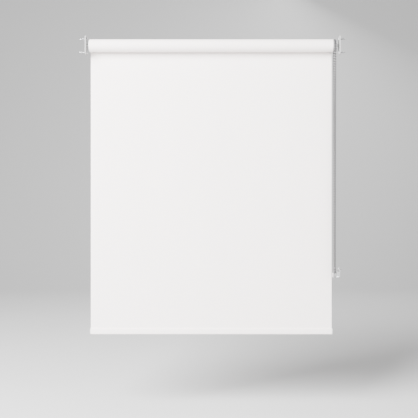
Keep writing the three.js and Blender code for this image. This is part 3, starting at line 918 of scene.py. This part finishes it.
class BLIND_OT_panel(bpy.types.Operator):
    """Make the hanging cloth between the roll and the hem"""

    bl_idname = "blind.panel"
    bl_label = "Cloth Panel"

    def execute(self, context):
        cloth = context.scene.blind_cloth
        bottom = PANEL_LOW.z
        x0, x1 = PANEL_LOW.x, PANEL_HIGH.x
        edge_width, press, rows, columns = 0.006, 0.00012, 66, 56

        def wave(x, z):
            hang = math.sin(math.pi * min(1, max(0, z / bottom))) ** 0.8
            slow = math.sin(x / 0.037 + 1.1 + 0.9 * z) + 0.5 * math.sin(x / 0.0143 - 1.7 * z)
            sag = 0.6 * math.sin(9.0 * z + 3.1 * x)
            edge = sum(math.exp(-((d / edge_width) ** 2)) for d in (x - x0, x1 - x))
            pressed = press if abs(z - WELD_Z) < cloth.weld * 0.55 else 0.0
            return hang * (cloth.ripple * (slow + sag) + cloth.curl * edge) + pressed

        even = [bottom * i / rows for i in range(rows + 1)]
        near_weld = {WELD_Z + cloth.weld * k for k in (0.9, 0.6, 0.5, 0.0, -0.5, -0.6)}
        clear_of_weld = {z for z in even if z > WELD_Z + 0.003 or z == bottom}
        heights = sorted(clear_of_weld | near_weld, reverse=True)
        line = [(CLOTH_Y, z) for z in heights if z >= bottom]
        piece = cloth_strip("cloth_panel", line, columns, cloth, wave, top=-WELD_Z)
        material = woven("cloth", cloth)
        finish(piece, "mounting", "cloth", material, "fabric_panel", angle=50)
        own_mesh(piece)
        return {"FINISHED"}


class BLIND_OT_roll(bpy.types.Operator):
    """Make the turns of cloth that stay on the tube"""

    bl_idname = "blind.roll"
    bl_label = "Cloth Roll"

    def execute(self, context):
        cloth = context.scene.blind_cloth
        turns = 1.25
        steps = 90
        line = []
        for i in range(steps + 1):
            angle = 2 * math.pi * turns * i / steps
            radius = CLOTH_Y - cloth.thickness * angle / (2 * math.pi)
            line.append((radius * math.cos(angle), radius * math.sin(angle)))
        line.reverse()
        piece = cloth_strip("cloth_roll", line, 12, cloth, top=1.0)
        material = woven("cloth_wound", cloth, seam=False)
        finish(piece, "roller", "cloth", material, "fabric_roll", angle=50)
        return {"FINISHED"}


class BLIND_OT_hem(bpy.types.Operator):
    """Make the cloth pocket round the bottom bar"""

    bl_idname = "blind.hem"
    bl_label = "Hem"

    def execute(self, context):
        cloth = context.scene.blind_cloth
        bar_low, bar_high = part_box("bottom_bar")
        radius = (HEM_HIGH.y - HEM_LOW.y - cloth.thickness) / 2
        middle = (HEM_HIGH.y + HEM_LOW.y) / 2
        upper = bar_high.z - (bar_high.y - bar_low.y) / 2
        lower = bar_low.z + (bar_high.y - bar_low.y) / 2
        start = PANEL_LOW.z
        gap = 0.0001
        back = CLOTH_Y + cloth.thickness + gap
        spread = math.degrees(math.acos(radius / (start - upper)))

        def round_bar(z, first, last, steps):
            turns = [math.radians(first + (last - first) * i / steps) for i in range(steps + 1)]
            return [(middle + radius * math.cos(a), z + radius * math.sin(a)) for a in turns]

        line = [
            (CLOTH_Y, start),
            *round_bar(upper, 90 + spread, 180, 8),
            *round_bar(lower, 180, 360, 14),
            *round_bar(upper, 0, 62, 8),
            (back + gap, start - 2 * gap),
            *((back, start + rise) for rise in (0.0004, 0.0012, 0.0024)),
            (back, HEM_HIGH.z),
        ]
        piece = cloth_strip("cloth_hem", line, 12, cloth, top=start - WELD_Z)
        material = woven("cloth_folded", cloth)
        finish(piece, "hem", "cloth", material, "hem_pocket", angle=60)
        return {"FINISHED"}


class BLIND_OT_bottom_bar(bpy.types.Operator):
    """Make the weight bar and its two end caps"""

    bl_idname = "blind.bottom_bar"
    bl_label = "Bottom Bar"

    def execute(self, context):
        fitting = context.scene.blind_fittings
        dress(extruded("bar_aluminium", fitting.aluminium), "bottom_bar")
        plastic = moulded("cap_plastic", fitting.plastic, roughness=0.4)
        for name, node in (("cap_drive", "bar_cap_drive"), ("cap_idle", "bar_cap_idle")):
            piece = softened_copy(name, node, fitting.rounding, angle=40, segments=3)
            finish(piece, "hem", "cap_plastic", plastic, node)
        return {"FINISHED"}


class BLIND_OT_tube(bpy.types.Operator):
    """Finish the aluminium tube and the strip that holds the cloth in it"""

    bl_idname = "blind.tube"
    bl_label = "Tube"

    def execute(self, context):
        fitting = context.scene.blind_fittings
        dress(extruded("tube_aluminium", fitting.aluminium), "roller_tube")
        dress(moulded("spline_plastic", fitting.plastic, roughness=0.45), "fabric_spline")
        return {"FINISHED"}


class BLIND_OT_idle_end(bpy.types.Operator):
    """Make the plug, its sprung pin and its cap at the plain end of the tube"""

    bl_idname = "blind.idle_end"
    bl_label = "Idle End"

    def execute(self, context):
        fitting = context.scene.blind_fittings
        plug = softened_copy("idle_end_plug", "idle_plug", fitting.moulding)
        plastic = moulded("plug_plastic", fitting.plastic, roughness=0.38)
        finish(plug, "roller", "cap_plastic", plastic, "idle_plug")
        dress(plastic, "idle_plug_cap")
        pin = softened_copy("sprung_pin", "idle_pin", fitting.moulding)
        steel = plated("pin_steel", fitting.steel, roughness=0.24, stretch=(0.1, 1, 1))
        finish(pin, "pin", "pin_steel", steel, "idle_pin")

        low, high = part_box("idle_pin_spring")
        wire, coils = 0.00035, 9
        long = high.x - low.x
        clear()
        bpy.ops.mesh.primitive_circle_add(
            vertices=10, radius=wire, location=(low.x + wire, 0, high.z - wire),
            rotation=(math.pi / 2, 0, 0),
        )
        spring = take("pin_spring")
        bpy.ops.object.transform_apply(location=True, rotation=True)
        modify(
            spring, "SCREW", axis="X", screw_offset=(long - 2 * wire) / coils,
            iterations=coils, steps=24, render_steps=24,
        )
        close_ends(spring)
        steel = plated("pin_spring_steel", fitting.steel, roughness=0.28)
        finish(spring, "roller", "spring_steel", steel, "idle_pin_spring", angle=60)
        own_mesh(spring)
        return {"FINISHED"}


class BLIND_PT_panel(bpy.types.Panel):
    """The steps and settings of the blind"""

    bl_idname = "BLIND_PT_panel"
    bl_label = "Roller Blind"
    bl_space_type = "VIEW_3D"
    bl_region_type = "UI"
    bl_category = "Roller Blind"

    def draw(self, context):
        for operator in STEPS:
            self.layout.operator(operator.bl_idname)
        for name in SETTINGS:
            box = self.layout.box()
            group = getattr(context.scene, name)
            for key in group.__annotations__:
                box.prop(group, key)


SETTINGS = {
    "blind_cloth": BlindClothSettings,
    "blind_chain": BlindChainSettings,
    "blind_fittings": BlindFittingSettings,
    "blind_stage": BlindStageSettings,
}
STEPS = (
    BLIND_OT_stage,
    BLIND_OT_connector,
    BLIND_OT_chain,
    BLIND_OT_safety_clip,
    BLIND_OT_wheel,
    BLIND_OT_clutch,
    BLIND_OT_brackets,
    BLIND_OT_screws,
    BLIND_OT_roll,
    BLIND_OT_hem,
    BLIND_OT_panel,
    BLIND_OT_bottom_bar,
    BLIND_OT_tube,
    BLIND_OT_idle_end,
)


def register():
    """Adds the settings, the steps and the panel."""
    for group in SETTINGS.values():
        bpy.utils.register_class(group)
    for name, group in SETTINGS.items():
        setattr(bpy.types.Scene, name, bpy.props.PointerProperty(type=group))
    for step in (*STEPS, BLIND_PT_panel):
        bpy.utils.register_class(step)


def unregister():
    """Removes the panel, the steps and the settings."""
    for step in reversed((*STEPS, BLIND_PT_panel)):
        bpy.utils.unregister_class(step)
    for name, group in SETTINGS.items():
        delattr(bpy.types.Scene, name)
        bpy.utils.unregister_class(group)


def main():
    """Runs every step in order."""
    register()
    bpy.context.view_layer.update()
    for step in STEPS:
        getattr(bpy.ops.blind, step.bl_idname.split(".")[1])()


if __name__ == "__main__":
    main()
